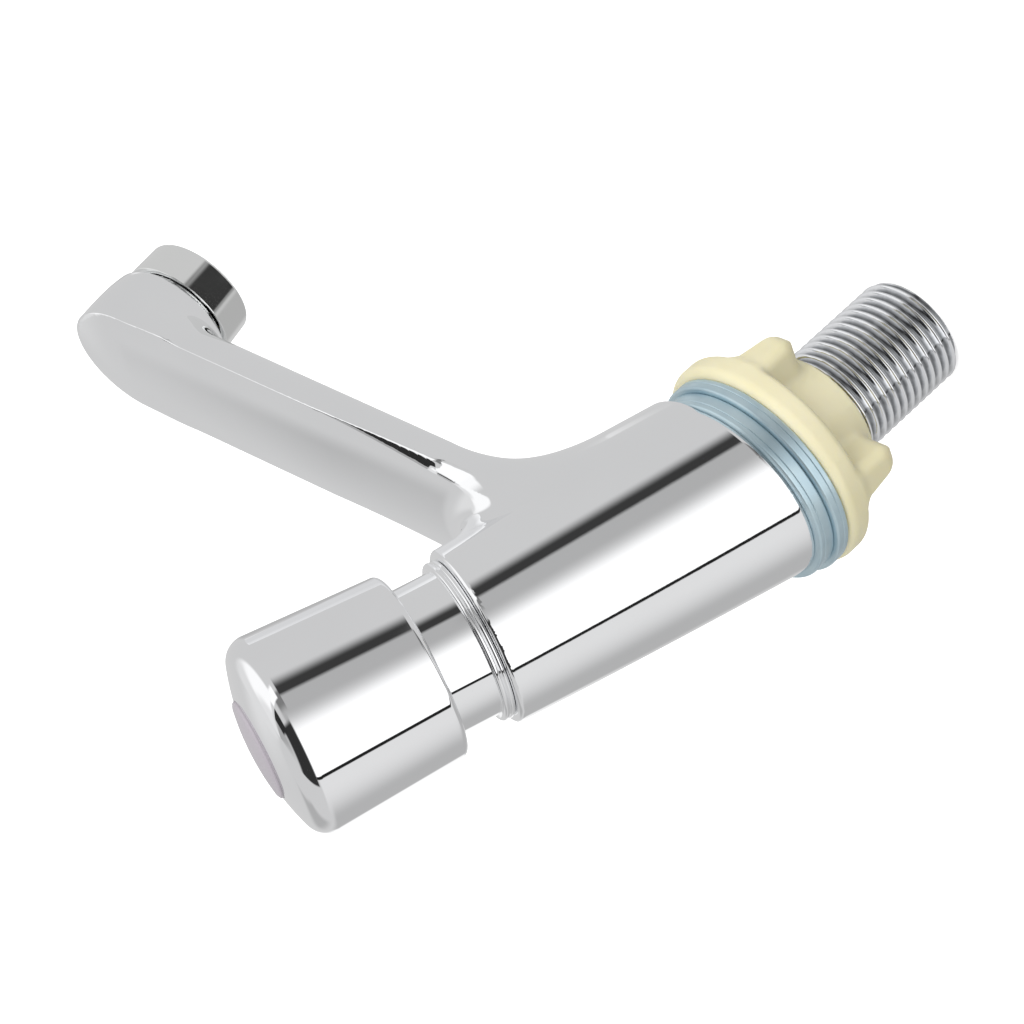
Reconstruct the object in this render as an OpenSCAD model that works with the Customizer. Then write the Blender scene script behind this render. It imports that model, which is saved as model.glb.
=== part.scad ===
// Push timed basin tap. The origin is the centre of the foot's seat face, on the axis of the tail.
// +Z runs up through the tap, the spout points along -Y, and the tap is symmetric about X = 0.
// Stations s run along the leaning axis of the barrel, from where it crosses the tail's axis.

/* [Barrel] */
// Angle by which the barrel and the button lean over the spout
lean = 16.5; // [13:0.5:19]
// Height of the point where the leaning axis leaves the tail's axis
lean_z = 7; // [6:0.5:8]
// Radius of the barrel at its foot
foot_r = 17.8; // [17:0.1:18.4]
// Radius of the barrel at its top
top_r = 15.7; // [15:0.1:16.4]
// Station of the barrel's top rim
top_s = 44.5; // [44:0.5:48]
// Rounding of the barrel's top rim
rim_round = 0.8; // [0.4:0.1:1.2]

/* [Spout] */
// Angle by which the spout rises outwards
rise = 12.1; // [10:0.1:14]
// Distance from the tail's axis to the centre of the outlet
reach = 105.5; // [100:0.5:112]
// Height of the centre of the outlet above the seat
outlet_z = 28.5; // [27:0.5:31]
// Width of the spout
spout_w = 25; // [24:0.2:26]
// Depth of the spout's slab under its top edge
slab_h = 9; // [8.6:0.1:10]
// Height of the crowned top over its edge
crown = 1.2; // [0.6:0.1:1.8]
// Height of the spout's top edge above the outlet
crease_h = 20.5; // [20:0.1:21]
// Depth of the outlet boss under the top edge
boss_h = 13; // [12.4:0.1:13.4]
// Radius of the hollow under the spout, where it meets the barrel
under_r = 20; // [16:0.5:24]
// Distance from the barrel's axis to the crest of the nose below the spout
nose_off = 20.5; // [20:0.1:22]
// Radius of the waterway along the spout
waterway_r = 3; // [2.4:0.1:3.3]
// Height of the waterway's axis above the outlet
waterway_h = 16.2; // [16:0.1:16.4]

/* [Outlet] */
// Radius of the aerator housing at its lower end
aerator_r = 10.55; // [10.3:0.05:10.8]
// Radius of the aerator housing where it meets the boss
aerator_seam_r = 10.95; // [10.9:0.05:11.4]
// Radius of the spigot that goes into the spout
spigot_r = 9.1; // [9:0.05:9.3]
// Length of that spigot
spigot_h = 6.3; // [6:0.1:6.6]
// Radius of the housing's bore
aerator_bore_r = 8; // [7.8:0.05:8.2]
// Height of the lip that holds the screen
lip_h = 0.6; // [0.4:0.1:0.9]
// Width of that lip
lip_w = 0.8; // [0.5:0.1:1.1]
// Thickness of the screen
screen_t = 0.4; // [0.3:0.05:0.5]
// Pitch of the screen's gaps
screen_pitch = 1.5; // [1.3:0.1:1.8]
// Thickness of the outlet washer
washer_t = 1.3; // [1.1:0.1:1.5]
// Radius of the hole in the outlet washer
washer_hole_r = 6.5; // [6:0.1:7]

/* [Tail] */
// Radius over the threads of the tail, for a half inch parallel pipe thread
tail_r = 10.4775; // [10.4:0.0025:10.5]
// Length of the tail below the seat
tail_l = 46; // [40:1:60]
// Length of the tail inside the foot
tail_in = 8.5; // [8:0.1:8.8]
// Radius of the bore through the tail
inlet_r = 7; // [6.5:0.1:7.5]
// Chamfer at the tail's end
tail_chamfer = 0.9; // [0.5:0.1:1.2]

/* [Washers and nut] */
// Outer radius of the washer under the foot
washer_up_r = 18.6; // [18.2:0.1:19.2]
// Thickness of that washer
washer_up_h = 3.2; // [2.6:0.1:3.8]
// Outer radius of the washer on the nut
washer_low_r = 19.6; // [19.2:0.1:20.2]
// Thickness of that washer
washer_low_h = 2.6; // [2:0.1:3.2]
// Radius of the hole in both washers
washer_in_r = 11.4; // [11:0.1:11.8]
// How far the loose washers have slipped off the tail's axis
washer_slip = 0.5; // [0:0.05:0.5]
// Radius of the nut's flange
flange_r = 20.8; // [20.4:0.1:21.2]
// Thickness of the nut's flange
flange_h = 5.2; // [4.6:0.1:5.8]
// Radius of the nut's hub at the flange
hub_r = 13.8; // [13.4:0.1:14.4]
// Radius of the nut's hub at its rim
hub_rim_r = 11.7; // [11.5:0.05:12]
// Height of the nut over all
nut_h = 16; // [15.4:0.1:17]
// Number of wings on the nut
wing_n = 4; // [3:1:6]
// Direction of the first wing
wing_turn = 18; // [0:1:89]
// Thickness of a wing at the flange
wing_t = 7.6; // [7:0.1:8.2]
// Thickness of a wing at its lower edge
wing_tip_t = 5.4; // [4.8:0.1:6]
// Height of a wing below the flange
wing_h = 9.2; // [8.6:0.1:9.8]
// Radius to the outside of a wing
wing_r = 20; // [19.4:0.1:20.3]
// Radius of the wing's corner
wing_round = 3.6; // [3:0.1:4.2]

/* [Cartridge] */
// Radius of the cartridge's bore in the body
cart_bore_r = 10.2; // [10.1:0.05:10.4]
// Station of that bore's floor
bore_s = 6.2; // [6:0.1:6.4]
// Outer radius of the cartridge
cart_r = 9.9; // [9.8:0.05:9.95]
// Radius of the cartridge's seating flange
cart_flange_r = 11.2; // [11:0.05:11.4]
// Depth of the shoulder that the flange sits on, under the barrel's rim
shoulder_d = 10.5; // [10:0.1:11.5]
// Thickness of that flange
cart_flange_h = 2.3; // [2:0.1:2.6]
// Station of the cartridge's lower end
cart_s = 9; // [8.8:0.1:9.4]
// Radius of the chamber below the valve seat
inlet_chamber_r = 7.6; // [7.4:0.1:8]
// Station of the valve seat
seat_s = 18.2; // [17.8:0.1:18.6]
// Thickness of the seat wall
seat_t = 1.8; // [1.4:0.1:2.2]
// Radius of the passage through the seat
seat_r = 5; // [4.6:0.1:5.4]
// Radius of the cartridge's waist, round which the water leaves
waist_r = 8.9; // [8.6:0.1:9.2]
// Length of the waist
waist_l = 6; // [5.6:0.1:6.4]
// Thickness of the wall under the timing chamber
gland_t = 2; // [1.6:0.1:2.4]
// Radius of the outlet ports
port_r = 1.8; // [1.4:0.1:2]
// Number of outlet ports
port_n = 6; // [4:1:6]
// Radius of the timing chamber
timer_r = 8; // [7.9:0.05:8.2]
// Radius of the gland bush
bush_r = 8.8; // [8.7:0.05:9]
// Thickness of the gland bush
bush_h = 6; // [5.6:0.1:6.4]
// Length of the cartridge above the shoulder
cart_head_l = 11; // [10.6:0.1:11.4]
// Height of the strainer basket
strainer_h = 2.6; // [2.4:0.1:2.7]
// Thickness of the strainer's floor
strainer_t = 0.6; // [0.4:0.1:0.7]
// Radius of the strainer's holes
strainer_hole_r = 0.7; // [0.5:0.1:0.8]

/* [Bonnet] */
// Radius of the bonnet's thread
bonnet_r = 11.9; // [11.8:0.05:12]
// Bore of the bonnet
bonnet_bore_r = 10.1; // [10.05:0.05:10.3]
// Radius over the two beads of the collar
collar_r = 14.4; // [14.2:0.1:14.8]
// Height of the collar
collar_h = 2; // [1.6:0.1:2.4]
// Radius of the neck
neck_r = 13; // [12.8:0.1:13.4]
// Length of the neck above the collar
neck_l = 15.5; // [14.5:0.1:16]
// Thickness of the lip at the neck's top
neck_lip = 2; // [1.6:0.1:2.4]
// Radius of the hole in that lip
neck_hole_r = 8; // [7.6:0.1:8.4]

/* [Button] */
// Gap left between the pressed button and the collar
rim_gap = 2.2; // [1.6:0.1:3]
// Length of the button's side, from its rear rim to the plane where the dome begins
button_l = 28.4; // [27.6:0.1:29.4]
// Radius of the button at its rear rim
button_rear_r = 16.4; // [16.2:0.1:16.8]
// Radius of the button at its front edge
button_front_r = 17.55; // [17.4:0.05:18]
// Rounding of the button's front edge
button_round = 4.2; // [3.6:0.1:4.6]
// Height of the dome over that plane
dome_h = 2.2; // [1.8:0.1:2.6]
// Wall of the button's side
button_wall = 1.7; // [1.4:0.1:1.9]
// Wall of the button's front
button_front_t = 2.1; // [1.8:0.1:2.4]
// Length of the boss inside the button
boss_l = 11.5; // [11:0.1:12]
// Radius of that boss
boss_r = 5; // [4.4:0.1:5.4]
// Radius of the badge on the dome
badge_r = 8.7; // [8:0.1:9.2]
// Thickness of the badge
badge_t = 1.2; // [0.8:0.1:1.6]
// How far the badge stands proud of the dome
badge_proud = 0.5; // [0.3:0.05:0.7]
// Radius of the screw under the badge
screw_r = 1.5; // [1.2:0.1:1.6]
// Radius of its head
screw_head_r = 3.2; // [2.8:0.1:3.6]
// Height of its head
screw_head_h = 1.4; // [1.2:0.1:1.6]
// Length of its shank
screw_l = 12; // [11:0.5:13]
// Travel of the button
travel = 5.5; // [4.5:0.1:5.8]

/* [Spindle] */
// Radius of the spindle
spindle_r = 2.5; // [2.3:0.05:2.6]
// Length of the spindle below the valve disc
spindle_foot = 1.8; // [1.6:0.1:2]
// Length of the spindle inside the button's boss
spindle_in = 7; // [6:0.5:8]
// Thickness of the valve disc
valve_t = 1.6; // [1.4:0.1:1.8]
// Radius of the valve disc
valve_r = 6.5; // [6.3:0.1:6.7]
// Thickness of the rubber seat washer
rubber_t = 1.6; // [1.4:0.1:1.8]
// Radius of the rubber seat washer
rubber_r = 6.2; // [6:0.1:6.3]
// Thickness of the timing piston
piston_t = 3.5; // [3:0.1:4]
// Radius of the timing piston
piston_r = 7.4; // [7.3:0.05:7.5]
// Gap left under the timing piston when the button is pressed
piston_gap = 1; // [0.6:0.1:1.3]
// Radius of the lip seal
lip_seal_r = 7.75; // [7.7:0.01:7.8]
// Distance of the metering pin from the spindle
pin_off = 4.6; // [4.5:0.1:4.7]
// Radius of the metering pin
pin_r = 0.7; // [0.5:0.05:0.75]
// Radius of the bleed hole that it runs in
bleed_r = 1; // [0.9:0.05:1.05]

/* [Return spring] */
// Radius of the spring's wire
wire_r = 0.6; // [0.5:0.05:0.7]
// Radius of the coil at the middle of its wire
coil_r = 5.9; // [5.6:0.1:6.1]
// Number of turns
coil_n = 7; // [6:1:9]
// Gap left between the spring's collar and the button's boss
collar_gap = 1.8; // [1.4:0.1:2.2]
// Radius of the spring's collar
spring_collar_r = 6.9; // [6.8:0.1:7.2]
// Thickness of the spring's collar
spring_collar_h = 1.2; // [1:0.1:1.6]

/* [Fits] */
// Radial gap between pieces that are screwed or seated together
fit = 0.1; // [0.05:0.01:0.12]
// Radial gap of the spindle in its glands
run = 0.06; // [0.04:0.01:0.08]
// Radial gap of the tail in its socket and of the nut on the tail
thread_gap = 0.08; // [0.05:0.01:0.1]
// Radius of an O-ring's section
oring_r = 0.65; // [0.6:0.01:0.7]
// Play round an O-ring in its groove
oring_play = 0.05; // [0.03:0.01:0.1]

/* [Hidden] */
$fn = 64;

half_w = spout_w / 2;
// Angle through which the underside turns from the spout into the nose
turn = 90 - lean - rise;
// Radius of the bend that carries the foot's circle into the leaning barrel
bend_r = lean_z / tan(lean / 2);
bend_l = bend_r * lean * PI / 180;
barrel_l = bend_l + top_s - lean_z;
// The leaning axis in the spout's own frame, (v towards the body, w up), from the outlet's centre
axis_v = reach * cos(rise) - (lean_z - outlet_z) * sin(rise);
axis_w = reach * sin(rise) + (lean_z - outlet_z) * cos(rise);
slab_w = crease_h - slab_h;
boss_w = crease_h - boss_h;
// Centre of the hollow under the spout
hollow_w = slab_w - under_r;
hollow_v = axis_v - (nose_off + under_r + (hollow_w - axis_w) * cos(turn)) / sin(turn);
socket_r = spigot_r + fit;
counterbore_r = bonnet_r + fit;
spindle_bore_r = spindle_r + run;
shoulder_s = top_s - shoulder_d;
cart_top_s = shoulder_s + cart_head_l;
waist_s = seat_s + seat_t;
gland_s = waist_s + waist_l;
timer_s = gland_s + gland_t;
bush_s = cart_top_s - bush_h;
groove_h = 2 * (oring_r + oring_play);
cart_oring_major = cart_bore_r - oring_r - oring_play;
cart_oring_s = seat_s - 1.6;
gland_oring_major = spindle_r + 0.3 + oring_r;
bonnet_s = shoulder_s + cart_flange_h;
neck_s = top_s + collar_h + neck_l;
bonnet_oring_r = oring_r - oring_play;
bonnet_oring_major = counterbore_r - bonnet_oring_r - oring_play;
bonnet_oring_s = top_s - 1.5;
button_s = top_s + collar_h + rim_gap + travel;
button_front_s = button_s + button_l;
// The dome is a sphere that the rounding of the front edge runs into without a corner
dome_edge_r = button_front_r - button_round;
dome_rise = dome_h + button_round;
dome_r = (dome_edge_r ^ 2 + dome_rise ^ 2 - button_round ^ 2) / (2 * dome_h);
dome_tilt = asin(dome_edge_r / (dome_r - button_round));
dome_top_s = button_front_s + dome_h;
badge_edge = 0.3;
badge_seat_s = dome_top_s - dome_sink(badge_r) - badge_t + badge_proud;
screw_seat_s = badge_seat_s - screw_head_h - fit;
cap_inside_s = button_front_s - button_front_t;
boss_s = cap_inside_s - boss_l;
spindle_top_s = boss_s + spindle_in;
rubber_s = seat_s - rubber_t;
valve_s = rubber_s - valve_t;
spindle_s = valve_s - spindle_foot;
piston_s = timer_s + piston_gap + travel;
spring_top_s = boss_s - collar_gap - spring_collar_h;
spring_h = spring_top_s - cart_top_s;
insert_s = lip_h + screen_t;
washer_w = boss_w + spigot_h;
insert_h = washer_w - insert_s - fit;
insert_wall_r = aerator_bore_r - 1;

function dome_sink(r) = dome_r - sqrt(dome_r * dome_r - r * r);
// Points of an arc, from one angle to another
function arc(x, y, r, a, b, n) = [for (i = [0:n]) let (t = a + (b - a) * i / n)
    [x + r * cos(t), y + r * sin(t)]];
// Faces of a tube of rings that all have n points, with both ends closed
function ring_faces(rings, n) = concat(
    [[for (j = [0:n - 1]) j]],
    [for (i = [0:rings - 2], j = [0:n - 1]) each [
        [i * n + j, (i + 1) * n + j, (i + 1) * n + (j + 1) % n],
        [i * n + j, (i + 1) * n + (j + 1) % n, i * n + (j + 1) % n]
    ]],
    [[for (j = [n - 1:-1:0]) (rings - 1) * n + j]]
);

module loft(rings) {
    polyhedron([for (ring = rings) each ring], ring_faces(len(rings), len(rings[0])), convexity = 4);
}

// Places its children on the leaning axis, at a station
module on_axis(s = 0) {
    translate([0, 0, lean_z]) rotate([lean, 0, 0]) translate([0, 0, s]) children();
}

// Places its children in the spout's frame, at a height above the outlet
module at_outlet(w = 0) {
    translate([0, -reach, outlet_z]) rotate([-rise, 0, 0]) translate([0, 0, w]) children();
}

module tube(r, hole, h) {
    difference() {
        cylinder(r = r, h = h);
        translate([0, 0, -1]) cylinder(r = hole, h = h + 2);
    }
}

module ring(major, minor) {
    rotate_extrude() translate([major, 0]) circle(r = minor, $fn = 24);
}

// One ring of the barrel: its centre's y and z, its tilt and its radius
function barrel_ring(y, z, tilt, r) = [for (i = [0:$fn - 1]) let (a = 360 * i / $fn)
    [r * cos(a), y + r * sin(a) * cos(tilt), z + r * sin(a) * sin(tilt)]];
function straight_ring(s, r) = barrel_ring(-s * sin(lean), lean_z + s * cos(lean), lean, r);
function taper(l) = foot_r + (top_r - foot_r) * l / barrel_l;

// The barrel bends from the foot's circle into the leaning axis and tapers to its top
module barrel() {
    bends = 6;
    loft(concat(
        [barrel_ring(0, -1, 0, foot_r)],
        [for (i = [0:bends]) let (a = lean * i / bends)
            barrel_ring(-bend_r * (1 - cos(a)), bend_r * sin(a), a, taper(bend_l * i / bends))],
        [for (p = arc(top_r - rim_round, top_s - rim_round, rim_round, 0, 90, 3)) straight_ring(p[1], p[0])]
    ));
}

// One ring of the spout, across it: foot point, slant of its plane, half width, depth of the
// rounded underside, height of the top, its crown, and the power of the underside's curve
function spout_ring(v, w, slant, hw, under, top, rim, power) = concat(
    [for (i = [0:16]) let (
        t = 180 * i / 16, c = cos(t),
        up = under * (1 - pow(sin(t), 2 / power)))
        [hw * sign(c) * pow(abs(c), 2 / power), v + up * sin(slant), w + up * cos(slant)]],
    [for (i = [0:6]) let (x = -1 + i / 3, up = top + rim * (1 - x * x))
        [hw * x, v + up * sin(slant), w + up * cos(slant)]]
);
// Height of the top over the underside, where the plane at an angle meets the top or the axis
function fan_top(a) = min(
    (under_r + slab_h) / cos(a),
    (nose_off + under_r) / cos(turn - a)) - under_r;

// The slab, the hollow under it and the nose that runs down the barrel to the foot
module spout_slab() {
    edge = 0.5;
    fan = 8;
    nose_l = (hollow_w + under_r * cos(turn) + outlet_z) / sin(turn);
    rings = concat(
        [spout_ring(-6, slab_w + 0.5, 0, half_w - 2, slab_h - 1, slab_h - 0.8, 0.4, 2.5)],
        [for (k = [[1.5, 1.9], [9, 1.9], [12.5, 1.2], [14.5, 0.4], [18, 0]])
            spout_ring(k[0], slab_w - k[1], 0, half_w, slab_h + k[1] - edge, slab_h + k[1], crown, 2.5)],
        [for (i = [0:fan]) let (a = turn * i / fan)
            spout_ring(
                hollow_v + under_r * sin(a), hollow_w + under_r * cos(a), a, half_w,
                slab_h - edge + (half_w - slab_h + edge) * i / fan,
                fan_top(a), crown * (1 - i / fan), 2.5 - 0.5 * i / fan)],
        [spout_ring(
            hollow_v + under_r * sin(turn) + nose_l * cos(turn),
            hollow_w + under_r * cos(turn) - nose_l * sin(turn),
            turn, half_w, half_w, nose_off, crown / 2, 2)]
    );
    at_outlet() loft(rings);
}

// The round end of the spout and the boss that takes the aerator
module spout_tip() {
    edge = 1.8;
    at_outlet() rotate_extrude() polygon(concat(
        [[0, boss_w]],
        arc(half_w - edge, boss_w + edge, edge, -90, 0, 6),
        [for (i = [0:8]) let (x = 1 - i / 8) [half_w * x, crease_h + crown * (1 - x * x)]]
    ));
}

module tap_body() color("gainsboro") difference() {
    union() {
        barrel();
        spout_slab();
        spout_tip();
    }
    translate([-60, -60, -60]) cube([120, 120, 60]);
    // Socket of the tail and the way up to the cartridge
    translate([0, 0, -1]) cylinder(r = tail_r + thread_gap, h = tail_in + 1.2);
    translate([0, 0, tail_in - 1]) cylinder(r = inlet_r - 1, h = lean_z + bore_s - tail_in + 5);
    // Bores of the cartridge and of the bonnet's thread
    on_axis(bore_s) cylinder(r = cart_bore_r, h = top_s);
    on_axis(shoulder_s) cylinder(r = counterbore_r, h = top_s);
    // Socket of the aerator and the waterway to it
    at_outlet(boss_w - 1) cylinder(r = socket_r, h = spigot_h + washer_t + 1 + fit);
    at_outlet(waterway_h) rotate([-90, 0, 0])
        cylinder(r = waterway_r, h = hollow_v + under_r * sin(turn) + 5);
}

module tail_shank() color("silver") difference() {
    union() {
        translate([0, 0, -tail_l + tail_chamfer]) cylinder(r = tail_r, h = tail_l + tail_in - tail_chamfer);
        translate([0, 0, -tail_l]) cylinder(r1 = tail_r - tail_chamfer, r2 = tail_r, h = tail_chamfer);
    }
    translate([0, 0, -tail_l - 1]) cylinder(r = inlet_r, h = tail_l + tail_in + 2);
}

module washer(r, h, lip) translate([0, washer_slip, 0]) rotate_extrude() polygon([
    [washer_in_r, 0], [r - lip, 0], [r, lip], [r, h - lip], [r - lip, h], [washer_in_r, h]
]);

module washer_upper() color("lightsteelblue") translate([0, 0, -washer_up_h])
    washer(washer_up_r, washer_up_h, 0.5);

module washer_lower() color("lightsteelblue")
    translate([0, 0, -washer_up_h - washer_low_h]) washer(washer_low_r, washer_low_h, 0.4);

// A wing narrows downwards from inside the flange, and its outer lower corner is round
module wing() {
    intersection() {
        translate([0, wing_t / 2, 0]) rotate([90, 0, 0]) linear_extrude(wing_t) union() {
            translate([hub_rim_r, -wing_h]) square([wing_r - wing_round - hub_rim_r, wing_h + 1]);
            translate([hub_rim_r, wing_round - wing_h])
                square([wing_r - hub_rim_r, wing_h + 1 - wing_round]);
            translate([wing_r - wing_round, wing_round - wing_h]) circle(r = wing_round);
        }
        rotate([90, 0, 90]) linear_extrude(wing_r + 1) polygon([
            [-wing_t / 2, 1], [-wing_tip_t / 2, -wing_h - 1],
            [wing_tip_t / 2, -wing_h - 1], [wing_t / 2, 1]
        ]);
    }
}

module wing_nut() color("cornsilk") translate([0, 0, -washer_up_h - washer_low_h]) difference() {
    union() {
        rotate_extrude() polygon(concat(
            [[tail_r, 0]],
            arc(flange_r - 1.8, -1.8, 1.8, 90, 0, 5),
            arc(flange_r - 1.6, 1.6 - flange_h, 1.6, 0, -90, 5),
            [[hub_r, -flange_h], [hub_rim_r, -nut_h], [tail_r, -nut_h]]
        ));
        for (k = [0:wing_n - 1]) rotate(wing_turn + 360 * k / wing_n) translate([0, 0, -flange_h]) wing();
    }
    translate([0, 0, -nut_h - 1]) cylinder(r = tail_r + thread_gap, h = nut_h + 2);
}

module inlet_strainer() color("khaki") on_axis(bore_s) difference() {
    cylinder(r = cart_r - fit, h = strainer_h);
    translate([0, 0, strainer_t]) cylinder(r = inlet_chamber_r, h = strainer_h);
    for (row = [[3, 8], [5.5, 14]], k = [0:row[1] - 1])
        rotate(360 * k / row[1]) translate([row[0], 0, -1]) cylinder(r = strainer_hole_r, h = 3, $fn = 16);
    translate([0, 0, -1]) cylinder(r = strainer_hole_r, h = 3, $fn = 16);
}

module cartridge_body() color("goldenrod") on_axis() difference() {
    union() {
        translate([0, 0, cart_s]) cylinder(r = cart_r, h = cart_top_s - cart_s);
        translate([0, 0, shoulder_s]) cylinder(r = cart_flange_r, h = cart_flange_h);
    }
    translate([0, 0, cart_s - 1]) cylinder(r = inlet_chamber_r, h = seat_s - cart_s + 1);
    translate([0, 0, seat_s - 1]) cylinder(r = seat_r, h = gland_s - seat_s + 1);
    translate([0, 0, gland_s - 1]) cylinder(r = spindle_bore_r, h = gland_t + 2);
    translate([0, 0, timer_s]) cylinder(r = timer_r, h = cart_top_s);
    translate([0, 0, bush_s]) cylinder(r = bush_r + fit, h = cart_top_s);
    // Waist and the ports through it
    translate([0, 0, waist_s]) difference() {
        cylinder(r = cart_r + 1, h = waist_l);
        translate([0, 0, -1]) cylinder(r = waist_r, h = waist_l + 2);
    }
    for (k = [0:port_n - 1]) translate([0, 0, waist_s + waist_l / 2])
        rotate([90, 0, 360 * k / port_n]) cylinder(r = port_r, h = cart_r + 1);
    // Groove of the O-ring below the seat
    translate([0, 0, cart_oring_s - groove_h / 2])
        tube(cart_r + 1, cart_oring_major - oring_r - oring_play, groove_h);
    // Hole that holds the metering pin
    translate([pin_off, 0, gland_s - 1]) cylinder(r = pin_r + run / 2, h = gland_t + 2, $fn = 24);
}

module cartridge_oring() color("dimgray") on_axis(cart_oring_s) ring(cart_oring_major, oring_r);

module metering_pin() color("silver") on_axis(gland_s) translate([pin_off, 0, 0])
    cylinder(r = pin_r, h = bush_s - gland_s - 2, $fn = 24);

module gland_bush() color("ivory") on_axis(bush_s) difference() {
    cylinder(r = bush_r, h = bush_h);
    translate([0, 0, -1]) cylinder(r = spindle_bore_r, h = bush_h + 2);
    translate([0, 0, (bush_h - groove_h) / 2])
        cylinder(r = gland_oring_major + oring_r + oring_play, h = groove_h);
}

module gland_oring() color("dimgray") on_axis(bush_s + bush_h / 2) ring(gland_oring_major, oring_r);

// The bonnet screws into the barrel, and its collar of two beads closes the joint
module bonnet() color("gainsboro") on_axis() difference() {
    bead_r = collar_h / 4;
    union() {
        translate([0, 0, bonnet_s]) cylinder(r = bonnet_r, h = neck_s - bonnet_s - 1);
        rotate_extrude() polygon(concat(
            [[bonnet_bore_r, top_s]],
            arc(collar_r - bead_r, top_s + bead_r, bead_r, -90, 60, 5),
            arc(collar_r - bead_r, top_s + 3 * bead_r, bead_r, -60, 90, 5),
            [[neck_r, top_s + collar_h]],
            arc(neck_r - 0.8, neck_s - 0.8, 0.8, 0, 90, 4),
            [[bonnet_bore_r, neck_s]]
        ));
        translate([0, 0, neck_s - neck_lip]) cylinder(r = bonnet_bore_r + 1, h = neck_lip);
    }
    translate([0, 0, bonnet_s - 1]) cylinder(r = bonnet_bore_r, h = neck_s - neck_lip - bonnet_s + 1);
    translate([0, 0, bonnet_s]) cylinder(r = neck_hole_r, h = neck_s);
    translate([0, 0, bonnet_oring_s - oring_r])
        tube(bonnet_r + 1, bonnet_oring_major - bonnet_oring_r - oring_play, 2 * oring_r);
}

module bonnet_oring() color("dimgray") on_axis(bonnet_oring_s) ring(bonnet_oring_major, bonnet_oring_r);

// Outline of the button's outside, from the rear rim to the middle of the dome
function button_outline() = concat(
    arc(button_rear_r - 1.2, button_s + 1.2, 1.2, -90, 0, 4),
    arc(dome_edge_r, button_front_s - button_round, button_round, 0, 90 - dome_tilt, 8),
    [for (i = [1:8]) let (r = dome_r * sin(dome_tilt) * (1 - i / 8)) [r, dome_top_s - dome_sink(r)]]
);

module button_cap() color("gainsboro") on_axis() difference() {
    rotate_extrude() polygon(concat([[0, button_s]], button_outline()));
    rotate_extrude() polygon(concat(
        [[0, button_s - 1], [button_rear_r - button_wall, button_s - 1]],
        arc(button_front_r - button_wall - 2.5, cap_inside_s - 2.5, 2.5, 0, 90, 4),
        [[boss_r, cap_inside_s], [boss_r, boss_s], [0, boss_s]]
    ));
    translate([0, 0, boss_s - 1]) cylinder(r = spindle_r + fit / 2, h = spindle_top_s - boss_s + 1);
    cylinder(r = screw_r + fit, h = dome_top_s);
    translate([0, 0, screw_seat_s]) cylinder(r = screw_head_r + fit, h = dome_top_s - screw_seat_s);
    translate([0, 0, badge_seat_s]) cylinder(r = badge_r + fit / 2, h = dome_top_s - badge_seat_s + 1);
}

// The badge is a bare disc that follows the dome
module cap_badge() color("thistle") on_axis() rotate_extrude() polygon(concat(
    [[0, badge_seat_s], [badge_r, badge_seat_s], [badge_r, badge_seat_s + badge_t - badge_edge]],
    [for (i = [0:8]) let (r = (badge_r - badge_edge) * (1 - i / 8))
        [r, dome_top_s - dome_sink(r) + badge_proud]]
));

module cap_screw() color("silver") on_axis(screw_seat_s) difference() {
    union() {
        cylinder(r = screw_head_r, h = screw_head_h);
        translate([0, 0, -screw_l]) cylinder(r = screw_r, h = screw_l + 0.5);
    }
    translate([-screw_head_r, -0.4, screw_head_h - 0.6]) cube([2 * screw_head_r, 0.8, 2]);
}

module spindle() color("goldenrod") on_axis(spindle_s) difference() {
    cylinder(r = spindle_r, h = spindle_top_s - spindle_s);
    translate([0, 0, screw_seat_s - screw_l - spindle_s - 1]) cylinder(r = screw_r + run, h = screw_l);
}

module spring_collar() color("silver") on_axis(spring_top_s)
    tube(spring_collar_r, spindle_bore_r, spring_collar_h);

module timing_piston() color("ivory") on_axis(piston_s) difference() {
    cylinder(r = piston_r, h = piston_t);
    translate([0, 0, -1]) cylinder(r = spindle_bore_r, h = piston_t + 2);
    translate([0, 0, 0.6]) difference() {
        cylinder(r = piston_r + 1, h = piston_t - 1.2);
        translate([0, 0, -1]) cylinder(r = piston_r - 1, h = piston_t + 2);
    }
    translate([pin_off, 0, -1]) cylinder(r = bleed_r, h = piston_t + 2, $fn = 24);
}

module lip_seal() color("dimgray") on_axis(piston_s + 0.65) rotate_extrude() polygon([
    [piston_r - 0.95, 0], [lip_seal_r - 0.3, 0], [lip_seal_r, piston_t - 1.3],
    [piston_r - 0.2, piston_t - 1.3], [piston_r - 0.4, 0.9], [piston_r - 0.95, 0.9]
]);

module valve_disc() color("goldenrod") on_axis(valve_s) tube(valve_r, spindle_bore_r, valve_t);

module seat_washer() color("dimgray") on_axis(rubber_s) tube(rubber_r, spindle_bore_r, rubber_t);

module jumper_nut() color("goldenrod") on_axis(spindle_s + 0.1) difference() {
    cylinder(r = 3.8, h = valve_s - spindle_s - 0.1, $fn = 6);
    translate([0, 0, -1]) cylinder(r = spindle_bore_r, h = 4);
}

// The coil's points climb evenly, and its ends lie inside the spring's height
module return_spring() color("silver") on_axis(cart_top_s + wire_r + 0.02) {
    steps = 8 * coil_n;
    pitch = (spring_h - 2 * wire_r - 0.04) / coil_n;
    tilt = atan(pitch / (2 * PI * coil_r));
    loft([for (i = [0:steps]) let (a = 45 * i) [for (j = [0:5]) let (b = 60 * j)
        [
            (coil_r + wire_r * cos(b)) * cos(a) + wire_r * sin(b) * sin(tilt) * sin(a),
            (coil_r + wire_r * cos(b)) * sin(a) - wire_r * sin(b) * sin(tilt) * cos(a),
            pitch * i / 8 + wire_r * sin(b) * cos(tilt)
        ]]]);
}

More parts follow.
